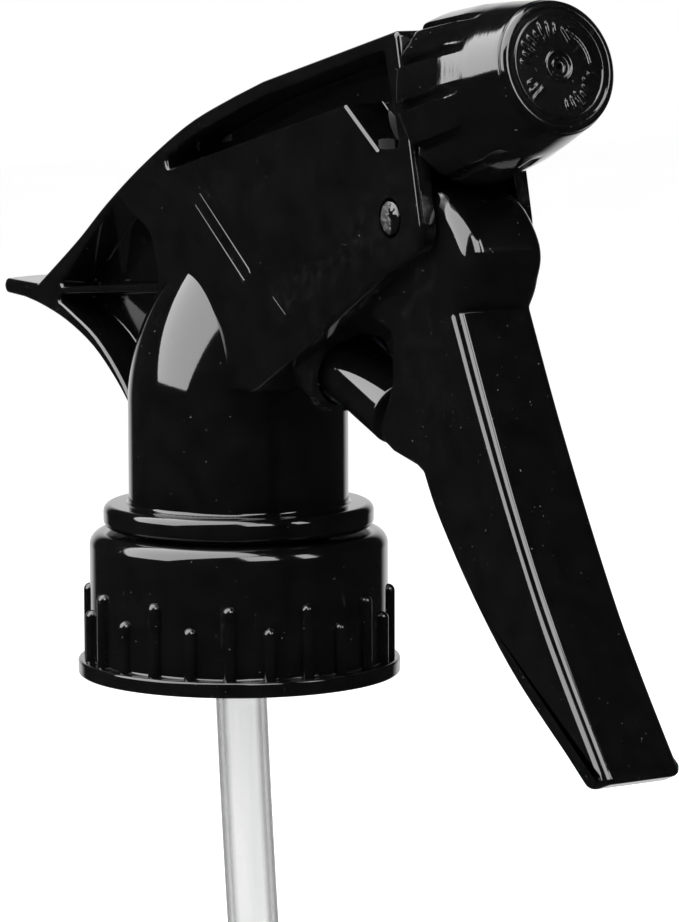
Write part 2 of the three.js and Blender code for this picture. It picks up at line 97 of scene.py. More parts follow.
# Dip tube
TUBE_RADIUS = 2.85
TUBE_BORE_RADIUS = 2.15
TUBE_LENGTH = 190
TUBE_TOP = 2.1

# Nozzle cap, with heights measured along the nozzle axis from the body's front wall
CAP_REAR = 0.9
CAP_REAR_ROUND = 1.7
CAP_FACE = 17.72
CAP_FACE_RADIUS = 5.75
SPRAY_HOLE_RADIUS = 0.35
CAP_SEGMENTS = 336
LOBE_COUNT = 12
LOBE_PHASE = math.radians(18.4)


# ---- Outlines and profiles ----


def clamp(value):
    """The value, kept between 0 and 1."""
    return min(max(value, 0), 1)


def polar(radius, angle, height):
    """A point about +Z, from its radius, its angle in radians and its height."""
    return (radius * math.cos(angle), radius * math.sin(angle), height)


def circle(centre, first, second, radius, count):
    """Points round a circle in the plane of two directions."""
    angles = [2 * math.pi * k / count for k in range(count)]
    return [centre + (first * math.cos(a) + second * math.sin(a)) * radius for a in angles]


def arc(centre_x, centre_z, radius, start, end, steps):
    """Points on an arc about a centre, from one angle to another in degrees."""
    angles = [math.radians(start + (end - start) * i / steps) for i in range(steps + 1)]
    return [(centre_x + radius * math.cos(a), centre_z + radius * math.sin(a)) for a in angles]


def smooth(knots, steps):
    """Points on a smooth curve through a few knots, as a Hermite spline."""
    last = len(knots) - 1
    points = []
    for i in range(steps + 1):
        place = last * i / steps
        k = min(int(place), last - 1)
        t = place - k
        p = [Vector(knots[min(max(k + j, 0), last)]) for j in (-1, 0, 1, 2)]
        v0 = (p[2] - p[0]) / 2
        v1 = (p[3] - p[1]) / 2
        point = (2 * p[1] - 2 * p[2] + v0 + v1) * t**3 + (-3 * p[1] + 3 * p[2] - 2 * v0 - v1) * t**2
        points.append(tuple(point + v0 * t + p[1]))
    return points


def rounded(points, radius, steps=5, closed=True, least_turn=14):
    """Rounds each corner of an outline with an arc, as far as its neighbours leave room.

    Corners that turn less than least_turn degrees are part of a curve already, and stay."""
    result = []
    count = len(points)
    for i, point in enumerate(points):
        corner = Vector(point)
        if not closed and i in (0, count - 1):
            result.append(tuple(corner))
            continue
        back = Vector(points[i - 1]) - corner
        ahead = Vector(points[(i + 1) % count]) - corner
        turn = math.pi - back.angle(ahead)
        if turn < math.radians(least_turn):
            result.append(tuple(corner))
            continue
        reach = min(radius * math.tan(turn / 2), 0.45 * min(back.length, ahead.length))
        size = reach / math.tan(turn / 2)
        back.normalize()
        ahead.normalize()
        centre = corner + (back + ahead).normalized() * size / math.cos(turn / 2)
        arm = corner + back * reach - centre
        side = 1 if -back.x * ahead.y + back.y * ahead.x > 0 else -1
        for k in range(steps + 1):
            angle = side * turn * k / steps
            swung = Vector((arm.x * math.cos(angle) - arm.y * math.sin(angle),
                            arm.x * math.sin(angle) + arm.y * math.cos(angle)))
            result.append(tuple(centre + swung))
    return result


def counter_clockwise(outline):
    """The outline in counter-clockwise order."""
    pairs = zip(outline, [*outline[1:], outline[0]])
    area = sum(a[0] * b[1] - b[0] * a[1] for a, b in pairs)
    return outline if area > 0 else outline[::-1]


def inset(outline, distances):
    """A counter-clockwise outline with each corner moved inward; a negative distance moves it out."""
    count = len(outline)
    points = [Vector(p) for p in outline]
    result = []
    for i, point in enumerate(points):
        before = (point - points[i - 1]).normalized()
        after = (points[(i + 1) % count] - point).normalized()
        mitre = Vector((-before.y - after.y, before.x + after.x))
        scale = 1 / max(0.35, mitre.length_squared / 2)
        result.append(tuple(point + mitre * scale * distances[i]))
    return result


# ---- Meshes ----


def placed(name, data):
    """A new object in the scene, from its data."""
    obj = bpy.data.objects.new(name, data)
    bpy.context.scene.collection.objects.link(obj)
    return obj


def make_object(name, vertices, faces):
    """An object from vertices in millimetres, with faces turned outward and doubled corners merged."""
    mesh = bpy.data.meshes.new(name)
    mesh.from_pydata([Vector(v) * MM for v in vertices], [], faces)
    made = bmesh.new()
    made.from_mesh(mesh)
    bmesh.ops.remove_doubles(made, verts=made.verts, dist=2e-6)
    bmesh.ops.dissolve_degenerate(made, edges=made.edges, dist=1e-6)
    bmesh.ops.recalc_face_normals(made, faces=made.faces)
    made.to_mesh(mesh)
    made.free()
    return placed(name, mesh)


def rings_to_object(name, rings, closed_ends=True, joined_ends=False):
    """A skin over equal rings of vertices, with flat ends or with its last ring joined to its first."""
    size = len(rings[0])
    vertices = [v for ring in rings for v in ring]
    faces = []
    spans = len(rings) if joined_ends else len(rings) - 1
    for r in range(spans):
        low = r * size
        high = ((r + 1) % len(rings)) * size
        for k in range(size):
            n = (k + 1) % size
            faces.append((low + k, low + n, high + n, high + k))
    if closed_ends and not joined_ends:
        faces.append(tuple(range(size))[::-1])
        faces.append(tuple(range(len(vertices) - size, len(vertices))))
    return make_object(name, vertices, faces)


def per_corner(value, outline):
    """One number for each corner, from a number or from a rule of (x, z)."""
    return [value(p) if callable(value) else value for p in outline]


def slab(name, outline, low, high, low_round=0.0, high_round=0.0, steps=4, stations=()):
    """A side outline carried across Y, with its two rims rounded and extra rings at the stations."""
    outline = counter_clockwise(outline)
    levels = []
    for y, rounding, side in ((low, low_round, -1), (high, high_round, 1)):
        radii = per_corner(rounding, outline)
        if not any(radii):
            levels.append([[(x, y, z) for x, z in outline]])
            continue
        rim = []
        for k in range(steps + 1):
            angle = math.pi / 2 * k / steps
            moved = inset(outline, [r * (1 - math.cos(angle)) for r in radii])
            drop = [abs(r) * (1 - math.sin(angle)) for r in radii]
            rim.append([(x, y - side * d, z) for (x, z), d in zip(moved, drop)])
        levels.append(rim if side > 0 else rim[::-1])
    between = [[(x, y, z) for x, z in outline] for y in stations]
    return rings_to_object(name, [*levels[0], *between, *levels[1]])


def turned(name, profile, segments=96, place=None, closed=False):
    """A turned shape about +Z. An open profile starts and ends on the axis, a closed one stays off it."""
    rings = []
    for k in range(segments):
        angle = 2 * math.pi * k / segments
        rings.append([polar(r, angle, h) for r, h in profile])
    size = len(profile)
    vertices = [v for ring in rings for v in ring]
    faces = []
    for k in range(segments):
        low = k * size
        high = ((k + 1) % segments) * size
        for i in range(size if closed else size - 1):
            n = (i + 1) % size
            corners = [low + i, high + i, high + n, low + n]
            if profile[i][0] == 0:
                corners.remove(high + i)
            if profile[n][0] == 0:
                corners.remove(high + n)
            if len(corners) > 2:
                faces.append(tuple(corners))
    obj = make_object(name, vertices, faces)
    if place:
        obj.data.transform(place)
    return obj


def along(origin, direction):
    """Places a shape built along +Z so that it runs from an origin along a direction."""
    turn = Vector((0, 0, 1)).rotation_difference(direction)
    return Matrix.Translation(origin * MM) @ turn.to_matrix().to_4x4()


ON_NOZZLE = along(NOZZLE_WALL, NOZZLE_AXIS)
ON_PUMP = along(PUMP_MOUTH, PUMP_AXIS)
ON_PIVOT = along(PIVOT, Vector((0, 1, 0)))


def rod_profile(radius, bottom, top, edge=0.0):
    """The profile of a plain rod, with its rims rounded where edge is set."""
    corners = [(0, bottom), (radius, bottom), (radius, top), (0, top)]
    return rounded(corners, edge, 3, closed=False) if edge else corners


def joined(name, objects):
    """One object from several, which keep their own shells."""
    made = bmesh.new()
    for obj in objects:
        made.from_mesh(obj.data)
        bpy.data.objects.remove(obj)
    mesh = bpy.data.meshes.new(name)
    made.to_mesh(mesh)
    made.free()
    return placed(name, mesh)


def combine(target, operation, tools):
    """Adds tools to target, or cuts them from it, and removes the tools."""
    for tool in tools:
        modifier = target.modifiers.new("combine", "BOOLEAN")
        modifier.operation = operation
        modifier.solver = "EXACT"
        modifier.object = tool
    graph = bpy.context.evaluated_depsgraph_get()
    mesh = bpy.data.meshes.new_from_object(target.evaluated_get(graph))
    target.modifiers.clear()
    target.data = mesh
    for tool in tools:
        bpy.data.objects.remove(tool)
    return target


def tidied(obj, distance=4e-6):
    """Merges the slivers that adding and cutting leave."""
    made = bmesh.new()
    made.from_mesh(obj.data)
    bmesh.ops.remove_doubles(made, verts=made.verts, dist=distance)
    bmesh.ops.dissolve_degenerate(made, edges=made.edges, dist=distance / 2)
    made.to_mesh(obj.data)
    made.free()
    return obj


def soften(obj, chosen, width, segments=2):
    """Bevels the sharp edges that a rule picks by their two ends."""
    made = bmesh.new()
    made.from_mesh(obj.data)
    edges = []
    for edge in made.edges:
        if len(edge.link_faces) != 2 or edge.calc_face_angle(0) < math.radians(30):
            continue
        if chosen(*[v.co / MM for v in edge.verts]):
            edges.append(edge)
    bmesh.ops.bevel(made, geom=edges, offset=width * MM, segments=segments, profile=0.5,
                    affect="EDGES", clamp_overlap=True)
    made.to_mesh(obj.data)
    made.free()
    return obj


# ---- Materials ----


class Nodes:
    """The nodes of a material or a world under construction, with short calls that add and join them."""

    def __init__(self, owner, shader, coordinates):
        owner.use_nodes = True
        self.owner = owner
        self.tree = owner.node_tree
        self.shader = self.tree.nodes[shader]
        self.where = self.tree.nodes.new("ShaderNodeTexCoord").outputs[coordinates]

    def join(self, source, target):
        self.tree.links.new(source, target)

    def noise(self, scale, detail=3.0, roughness=0.5, stretch=(1, 1, 1)):
        """Noise in object space, with scale in features per metre."""
        mapping = self.tree.nodes.new("ShaderNodeMapping")
        mapping.inputs["Scale"].default_value = stretch
        self.join(self.where, mapping.inputs["Vector"])
        made = self.tree.nodes.new("ShaderNodeTexNoise")
        made.inputs["Scale"].default_value = scale
        made.inputs["Detail"].default_value = detail
        made.inputs["Roughness"].default_value = roughness
        self.join(mapping.outputs["Vector"], made.inputs["Vector"])
        return made.outputs["Fac"]

    def height_along(self, axis):
        """How far a point lies along an axis."""
        made = self.tree.nodes.new("ShaderNodeVectorMath")
        made.operation = "DOT_PRODUCT"
        made.inputs[1].default_value = axis
        self.join(self.where, made.inputs[0])
        return made.outputs["Value"]

    def noise_along(self, axis, scale, detail=2.0):
        """Noise that changes only along an axis, with scale in features per metre."""
        made = self.tree.nodes.new("ShaderNodeTexNoise")
        made.noise_dimensions = "1D"
        made.inputs["Scale"].default_value = scale
        made.inputs["Detail"].default_value = detail
        self.join(self.height_along(axis), made.inputs["W"])
        return made.outputs["Fac"]

    def spread(self, value, start, end, low, high, shape="LINEAR"):
        """Maps a value from one range to another."""
        made = self.tree.nodes.new("ShaderNodeMapRange")
        made.interpolation_type = shape
        made.inputs["From Min"].default_value = start
        made.inputs["From Max"].default_value = end
        made.inputs["To Min"].default_value = low
        made.inputs["To Max"].default_value = high
        self.join(value, made.inputs["Value"])
        return made.outputs["Result"]

    def math(self, operation, first, second):
        """One operation on two values, kept between 0 and 1."""
        made = self.tree.nodes.new("ShaderNodeMath")
        made.operation = operation
        made.use_clamp = True
        for socket, value in zip(made.inputs, (first, second)):
            if isinstance(value, (int, float)):
                socket.default_value = value
            else:
                self.join(value, socket)
        return made.outputs["Value"]

    def mix(self, factor, first, second):
        """Mixes two colours by a factor."""
        made = self.tree.nodes.new("ShaderNodeMix")
        made.data_type = "RGBA"
        self.join(factor, made.inputs["Factor"])
        first_colour, second_colour = made.inputs[6], made.inputs[7]
        for socket, colour in ((first_colour, first), (second_colour, second)):
            if isinstance(colour, tuple):
                socket.default_value = (*colour, 1)
            else:
                self.join(colour, socket)
        return made.outputs[2]

    def edges(self):
        """How strongly a point lies on an outer edge, from 0 to 1."""
        geometry = self.tree.nodes.new("ShaderNodeNewGeometry")
        return self.spread(geometry.outputs["Pointiness"], 0.52, 0.60, 0.0, 1.0)

    def bump(self, height, strength, distance, under=None):
        """A bumped normal, laid over another one where that is given."""
        made = self.tree.nodes.new("ShaderNodeBump")
        made.inputs["Strength"].default_value = strength
        made.inputs["Distance"].default_value = distance
        self.join(height, made.inputs["Height"])
        if under is not None:
            self.join(under, made.inputs["Normal"])
        return made.outputs["Normal"]

    def finish(self, colour, roughness, normal=None, **constants):
        """Joins the results to the shader, sets its constants, and gives back the material."""
        self.join(colour, self.shader.inputs["Base Color"])
        self.join(roughness, self.shader.inputs["Roughness"])
        if normal is not None:
            self.join(normal, self.shader.inputs["Normal"])
        for name, value in constants.items():
            self.shader.inputs[name.replace("_", " ")].default_value = value
        return self.owner


def material_nodes(name):
    """A new material's nodes, placed by object coordinates."""
    return Nodes(bpy.data.materials.new(name), "Principled BSDF", "Object")


def gloss_black(name="gloss_black_plastic", polish=0.035, wave=0.035, turned_about=None):
    """Injection-moulded black polypropylene: mirror-like with a faint orange peel, haze and worn edges.

    A piece whose mould was cut on a lathe also has fine marks round its turned_about axis."""
    n = material_nodes(name)
    haze = n.noise(90, 4)
    cloud = n.noise(380, 3)
    dust = n.spread(n.noise(2600, 2, 0.4), 0.735, 0.80, 0.0, 1.0)
    worn = n.math("MULTIPLY", n.edges(), n.spread(n.noise(700, 4), 0.45, 0.7, 0.0, 1.0))
    base = n.mix(n.spread(cloud, 0.3, 0.7, 0.0, 1.0), (0.0009, 0.0009, 0.001), (0.0018, 0.0018, 0.0019))
    colour = n.mix(n.math("MULTIPLY", worn, 0.4), base, (0.012, 0.012, 0.012))
    colour = n.mix(n.math("MULTIPLY", dust, 0.35), colour, (0.10, 0.10, 0.10))
    rough = n.spread(haze, 0.3, 0.7, polish, polish + 0.05)
    rough = n.math("ADD", rough, n.math("MULTIPLY", worn, 0.08))
    rough = n.math("ADD", rough, n.math("MULTIPLY", dust, 0.3))
    peel = n.bump(n.noise(420, 2), wave, 0.00012)
    grain = n.bump(n.noise(5200, 2), 0.05, 0.00002, under=peel)
    if turned_about is not None:
        grain = n.bump(n.noise_along(turned_about, 2600), 0.10, 0.00004, under=grain)
    return n.finish(colour, rough, grain, IOR=1.49)


def rough_black():
    """The end of a moulded pin: torn and granular where its runner was, smooth beside it."""
    n = material_nodes("rough_black_plastic")
    pits = n.noise(2400, 5, 0.6)
    ahead = n.tree.nodes.new("ShaderNodeSeparateXYZ")
    n.join(n.where, ahead.inputs["Vector"])
    ragged = n.math("ADD", ahead.outputs["X"], n.spread(n.noise(900, 3), 0.3, 0.7, 0.0, 0.0008))
    torn = n.spread(ragged, PIVOT.x * MM + 0.0003, PIVOT.x * MM + 0.0006, 1.0, 0.0)
    grit = n.math("MULTIPLY", n.spread(pits, 0.4, 0.7, 0.0, 1.0), torn)
    colour = n.mix(grit, (0.0015, 0.0015, 0.0015), (0.05, 0.05, 0.05))
    rough = n.math("ADD", n.math("MULTIPLY", torn, n.spread(pits, 0.3, 0.7, 0.28, 0.5)), 0.06)
    height = n.math("MULTIPLY", pits, torn)
    return n.finish(colour, rough, n.bump(height, 0.9, 0.0003), IOR=1.49)


def natural_plastic():
    """Undyed polyethylene, milky with a soft sheen."""
    n = material_nodes("natural_plastic")
    cloud = n.noise(260, 4)
    colour = n.mix(n.spread(cloud, 0.3, 0.7, 0.0, 1.0), (0.70, 0.70, 0.66), (0.80, 0.80, 0.77))
    rough = n.spread(n.noise(900, 3), 0.3, 0.7, 0.34, 0.5)
    return n.finish(colour, rough, n.bump(cloud, 0.15, 0.0001), IOR=1.51, Subsurface_Weight=0.2,
                    Subsurface_Scale=0.002)


def clear_tube():
    """Clear extruded tube: faint draw lines along it, and painted shade that turns the wall grey where it
    is seen edge on.
    """
    n = material_nodes("clear_tube")
    lines = n.noise(700, 2, 0.5, stretch=(1, 1, 0.03))
    clear = n.mix(n.spread(lines, 0.3, 0.7, 0.0, 1.0), (0.91, 0.915, 0.915), (0.965, 0.965, 0.965))
    # painted shade: the glass colour is mixed towards grey where the surface is seen edge on, standing in
    # for the darker surroundings that the wall refracts
    edge_on_shade = n.tree.nodes.new("ShaderNodeLayerWeight").outputs["Facing"]
    colour = n.mix(n.spread(edge_on_shade, 0.24, 0.52, 0.0, 1.0), clear, (0.22, 0.22, 0.22))
    rough = n.spread(n.noise(350, 3), 0.3, 0.7, 0.08, 0.16)
    return n.finish(colour, rough, n.bump(lines, 0.12, 0.0001), IOR=1.49, Transmission_Weight=0.94)


def steel(name, low, high):
    """Stainless steel, drawn or ground."""
    n = material_nodes(name)
    grain = n.noise(3200, 4, 0.6, stretch=(1, 1, 0.2))
    colour = n.mix(n.spread(grain, 0.3, 0.7, 0.0, 1.0), (0.50, 0.51, 0.52), (0.68, 0.69, 0.70))
    rough = n.spread(grain, 0.3, 0.7, low, high)
    return n.finish(colour, rough, n.bump(grain, 0.2, 0.00003), Metallic=1.0)


def foam():
    """Closed-cell foam of a neck liner."""
    n = material_nodes("gasket_foam")
    cells = n.tree.nodes.new("ShaderNodeTexVoronoi")
    cells.inputs["Scale"].default_value = 2600
    n.join(n.where, cells.inputs["Vector"])
    distance = cells.outputs["Distance"]
    colour = n.mix(n.spread(distance, 0.0, 0.8, 0.0, 1.0), (0.60, 0.60, 0.57), (0.76, 0.76, 0.73))
    rough = n.spread(n.noise(900, 3), 0.3, 0.7, 0.7, 0.9)
    return n.finish(colour, rough, n.bump(distance, 0.4, 0.0001))


def seal_rubber():
    """Moulded black rubber with a fine matt skin."""
    n = material_nodes("seal_rubber")
    skin = n.noise(3000, 4)
    colour = n.mix(n.spread(skin, 0.3, 0.7, 0.0, 1.0), (0.014, 0.014, 0.014), (0.035, 0.034, 0.033))
    rough = n.spread(skin, 0.3, 0.7, 0.5, 0.75)
    return n.finish(colour, rough, n.bump(skin, 0.3, 0.00005))


def studio_floor_material():
    """A plain pale sweep."""
    n = material_nodes("pale_floor")
    cloud = n.noise(6, 2)
    colour = n.mix(n.spread(cloud, 0.3, 0.7, 0.0, 1.0), (0.90, 0.90, 0.90), (0.93, 0.93, 0.93))
    return n.finish(colour, n.spread(cloud, 0.3, 0.7, 0.6, 0.7), Emission_Color=(1, 1, 1, 1),
                    Emission_Strength=0.9)


# ---- Fitting a piece into the frame ----


def shade(obj, angle=30):
    """Smooth shading that keeps flats flat and corners sharper than an angle crisp."""
    obj.data.shade_smooth()
    obj.data.set_sharp_from_angle(angle=math.radians(angle))
    modifier = obj.modifiers.new("weighted_normals", "WEIGHTED_NORMAL")
    modifier.keep_sharp = True
    modifier.weight = 80
    return obj


def fit(obj, body, node, material, angle=30):
    """Shades a piece, gives it its material, and puts it in place of a CAD node."""
    obj.data.materials.clear()
    obj.data.materials.append(material)
    shade(obj, angle)
    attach(obj, body)
    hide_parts(node)
    return obj


# ---- Body ----


def roof_line():
    """Roof line from the front wall's top back to the tail's root."""
    curve = [(10.5, 51.9), (1.2, 48.6), (-8.6, 43.7), (-16.6, 38.9), (-23.4, 34.2), (-32.6, 28.5)]
    return [(42.1, 59.9), (16.3, 53.7), *smooth(curve, 28)]


def hand_line():
    """Web line under the hand, from the tail's root down to the neck."""
    return smooth([(-36, 26.7), (-31.8, 26.1), (-26, 24.7), (-20, 22.3), (-14.9, 18.9), (-11.2, 15.6)], 20)


def side_outline():
    """The whole side outline, with the tail and both lower corners."""
    tail = [(-41.9, 28.6), (-42.3, 27.7), (-41.8, 26.9)]
    lower_corner = arc(13.4, 23.3, 3, 264, 302, 5)
    front_corner = arc(43.5, 39.9, 3, 302, 374, 10)
    foot = [(5, 14.8), (8.5, 20.2)]
    return [*roof_line(), *tail, *hand_line(), *foot, *lower_corner, (42.4, 36.4), *front_corner]


def top_recess():
    """The recess between roof and side plate, above the plate's sloped top edge."""
    roof = [(39.6, 57.8), (16.6, 52.1), (10.9, 50.3), (2.0, 47.2), (-3.6, 44.6)]
    return [*roof, (-3.1, 43.3), (32.4, 52.0), (38.6, 47.6), (42.4, 48.0)]


def rear_recess():
    """The recess behind the plate, above the level rib."""
    edge = smooth([(-13.9, 39.7), (-10.7, 37.9), (-7.3, 36.2), (-6.2, 34.1), (-5.2, 30.7)], 12)
    return [*edge, (-28.0, 28.5), (-21.5, 33.8)]


def lower_recess():
    """The recess below the level rib, above the strip under the hand."""
    strip = smooth([(-27.4, 26.9), (-24.5, 25.8), (-19.2, 23.5), (-13.9, 19.6), (-9.5, 14.8)], 14)
    return [*strip, (4, 14.8), (-3, 29.9), (-27.4, 27.7)]


def trigger_pocket():
    """The pocket between the side plates that the trigger swings in."""
    back = [(37, 46.4), (33, 44.2), (28, 38.5), (26.9, 30.5), (23.4, 22), (22, 14)]
    return [(52, 46.4), *back, (52, 14)]


def round_tail(obj):
    """Rounds the tail's end as seen from above."""
    start = -34.0
    length = 8.0
    plan_radius = 13.8
    for vertex in obj.data.vertices:
        x, y = vertex.co.x / MM, vertex.co.y / MM
        share = clamp((start - x) / length)
        share = share * share * (3 - 2 * share)
        vertex.co.x += share * (plan_radius - math.sqrt(plan_radius**2 - y * y)) * MM
    return obj


def recess_tool(name, outline, side):
    """Cuts one recess from a side face, with a rounded mouth and a filleted floor."""
    surface = BODY_HALF_WIDTH
    floor = surface - 4.6
    fillet = 0.3
    mouth = 0.4
    outline = counter_clockwise(rounded(outline, 0.5, 4))
    quarter = [math.pi / 2 * k / 4 for k in range(5)]
    levels = [(fillet * (1 - math.sin(a)), floor + fillet * (1 - math.cos(a))) for a in quarter]
    levels += [(-mouth * (1 - math.cos(a)), surface - mouth * (1 - math.sin(a))) for a in quarter]
    levels.append((-mouth, surface + 1))
    rings = []
    for shrink, y in levels:
        moved = inset(outline, [shrink] * len(outline))
        rings.append([(x, side * y, z) for x, z in moved])
    return rings_to_object(name, rings)


def neck_and_dome():
    """Base ring, neck and dome as one turned profile."""
    ring_bottom, ring_top, ring_radius = 3.85, 6.5, 14.95
    dome_base, dome_top, top_radius = 17.5, 32.3, 7.0
    neck_radius = 12.15
    root_radius = neck_radius + 0.85
    rise = dome_top - dome_base
    run = neck_radius - top_radius
    radius = (rise * rise + run * run) / (2 * run)
    sweep = math.degrees(math.asin(rise / radius))
    neck = [(neck_radius, ring_top), (neck_radius, 9)]
    ring = rounded([(0, ring_bottom), (ring_radius, ring_bottom), (ring_radius, ring_top), *neck], 0.85, 6,
                   closed=False)
    rim = [p for p in ring if p[0] > root_radius + 0.2 or p[1] < ring_top - 1.5]
    root = rounded([(root_radius, ring_top), *neck], 0.4, 4, closed=False)
    dome = arc(neck_radius - radius, dome_base, radius, 0, sweep, 24)
    return turned("neck", [*rim, *root[1:], *dome, (0, dome_top)], 144)


def pump_housing():
    """The pump chamber's outer wall, trimmed where it enters the neck."""
    radius, rear, chamfer = 5.6, -23.5, 0.5
    profile = [(0, rear), (radius, rear), (radius, -chamfer), (radius - chamfer, 0), (0, 0)]
    housing = turned("housing", profile, 72, ON_PUMP)
    room = slab("room", [(-5, 18.7), (60, 18.7), (60, 60), (-5, 60)], -20, 20)
    return combine(housing, "INTERSECT", [room])


def barrel():
    """The threaded barrel that carries the nozzle cap, and the boss that it grows from."""
    boss, root, crest = 4.4, 4.9, 5.5
    first, pitch = 2.6, 2.2
    profile = [(0, -7), (boss, -7), (boss, -0.8), (root, -0.8), (root, first)]
    for start in (first, first + pitch, first + 2 * pitch):
        profile += [(crest, start + 0.3), (crest, start + 0.8), (root, start + 1.1)]
    profile += [(root, 12.2), (4.5, 12.6), (0, 12.6)]
    return turned("barrel", rounded(profile, 0.25, 3, closed=False), 64, ON_NOZZLE)


def plate_marks(side):
    """The raised slot outline and the short stroke beyond it, moulded on a side plate."""
    tilt = math.radians(-37.2)
    start = Vector((3.2, 40.4))
    direction = Vector((math.cos(tilt), math.sin(tilt)))
    across = Vector((-direction.y, direction.x))
    length = 12.3
    half_width = 0.8
    loop = [(0, half_width), (length, half_width)]
    loop += arc(length, 0, half_width, 80, -80, 8)
    loop += [(length, -half_width), (0, -half_width)]
    path = [start + direction * u + across * v for u, v in loop]
    stroke = [Vector((18.4, 31.0)), Vector((20.9, 29.3))]
    return [ridge(f"mark_{i}", points, side) for i, points in enumerate((path, stroke))]


def ridge(name, path, side):
    """A low rounded ridge along a path on a side plate, sunk into it."""
    half = 0.19
    height = 0.065
    profile = ((-1, -2), (-1, 0), (-0.55, 0.8), (0, 1), (0.55, 0.8), (1, 0), (1, -2))
    rings = []
    for i, point in enumerate(path):
        before = path[max(i - 1, 0)]
        after = path[min(i + 1, len(path) - 1)]
        run = (after - before).normalized()
        across = Vector((-run.y, run.x))
        grow = 0.35 if i in (0, len(path) - 1) else 1.0
        section = []
        for offset, lift in profile:
            where = point + across * offset * half * grow
            section.append((where.x, side * (BODY_HALF_WIDTH + lift * height * grow), where.y))
        rings.append(section)
    return rings_to_object(name, rings)


def pin_hole():
    """A cutter for the trigger pin's hole, right across the head."""
    return turned("pin_hole", rod_profile(2.05, -12, 12), 48, ON_PIVOT)


def body_hollows():
    """The ducts, the pump chamber and the pin hole."""
    duct, ball_room, core_room = 1.2, 2.2, 3.4
    nozzle_duct = [(0, -44), (duct, -44), (duct, -9.6), (ball_room, -8.4), (ball_room, -5), (core_room, -5),
                   (core_room, 13.6), (0, 13.6)]
    on_riser = Matrix.Translation((RISER_X * MM, 0, 0))
    on_vent = Matrix.Translation((8.5 * MM, 0, 0))
    return [
        turned("nozzle_duct", nozzle_duct, 48, ON_NOZZLE),
        turned("chamber", rod_profile(4.4, -22, 30), 64, ON_PUMP),
        turned("port", rod_profile(1, -28, -21), 20, ON_PUMP),
        turned("riser", rod_profile(1.5, 10, 40.4), 32, on_riser),
        turned("vent", rod_profile(0.6, 13.5, 24), 16, on_vent),
        pin_hole(),
    ]


def neck_room():
    """The room inside the neck, around the post that the tube holder plugs into."""
    outer = [(0, -5), (10.2, -5), (10.2, 13.5), (8.2, 15), (5.4, 15)]
    post = [(5.4, 9.2), (3.35, 9.2), (3.35, 13.3), (0, 13.3)]
    return turned("neck_room", rounded([*outer, *post], 0.25, 3, closed=False), 96)


def pocket_rim(a, b):
    """True for the edges where the trigger's pocket opens through the side plates."""
    inner = TRIGGER_HALF_WIDTH + TRIGGER_GAP
    return all(abs(abs(p.y) - inner) < 0.02 and p.x > 24.5 for p in (a, b))


def make_body(material):
    """The moulded body, with stations across it so that its tail can be rounded."""
    outline = rounded(side_outline(), 0.75, 5)
    shell = slab("body_shell", outline, -BODY_HALF_WIDTH, BODY_HALF_WIDTH, BODY_EDGE, BODY_EDGE, 5,
                 stations=[1.3 * k for k in range(-4, 5)])
    round_tail(shell)
    inner = TRIGGER_HALF_WIDTH + TRIGGER_GAP
    pocket = slab("pocket", rounded(trigger_pocket(), 1.0, 5), -inner, inner)
    tools = [pocket]
    for side in (-1, 1):
        for outline in (top_recess(), rear_recess(), lower_recess()):
            tools.append(recess_tool("recess", outline, side))
    combine(shell, "DIFFERENCE", tools)
    marks = plate_marks(-1) + plate_marks(1)
    combine(shell, "UNION", [neck_and_dome(), pump_housing(), barrel(), *marks])
    combine(shell, "DIFFERENCE", [neck_room(), *body_hollows()])
    tidied(shell)
    soften(shell, pocket_rim, 0.3, 3)
    shell.name = "moulded_body"
    return fit(shell, "head", "body", material)


# ---- Closure nut ----


def nut_rib(index):
    """One rounded grip rib standing on the nut's skirt, with a domed top. Long and short ones alternate."""
    height = 8.1 if index % 2 == 0 else 5.7
    foot = NUT_BOTTOM + 0.8
    top = NUT_BOTTOM + RIM_HEIGHT + height
    profile = [(0, foot), (RIB_RADIUS, foot), (RIB_RADIUS, top - RIB_RADIUS)]
    profile += arc(0, top - RIB_RADIUS, RIB_RADIUS, 15, 90, 5)
    profile[-1] = (0, top)
    place = Matrix.Rotation(RIB_TURN + 2 * math.pi * index / RIB_COUNT, 4, "Z")
    place = place @ Matrix.Translation((NUT_RADIUS * MM, 0, 0))
    return turned("rib", profile, 20, place)


def nut_thread(bore):
    """The inside thread: a rounded ridge that winds down the nut's bore and fades at both ends."""
    turns, pitch, bottom, depth = 1.6, 4.2, -9.4, 1.1
    steps, corners = 110, 10
    rings = []
    for i in range(steps + 1):
        t = i / steps
        angle = 2 * math.pi * turns * t
        strength = min(1, 12 * t, 12 * (1 - t))
        height = bottom + pitch * turns * t
        ring = []
        for k in range(corners):
            around = 2 * math.pi * k / corners
            radius = bore + 0.15 + depth * (1 - strength) + depth * 0.97 * math.cos(around)
            ring.append(polar(radius, angle, height + depth * math.sin(around)))
        rings.append(ring)
    return rings_to_object("thread", rings)


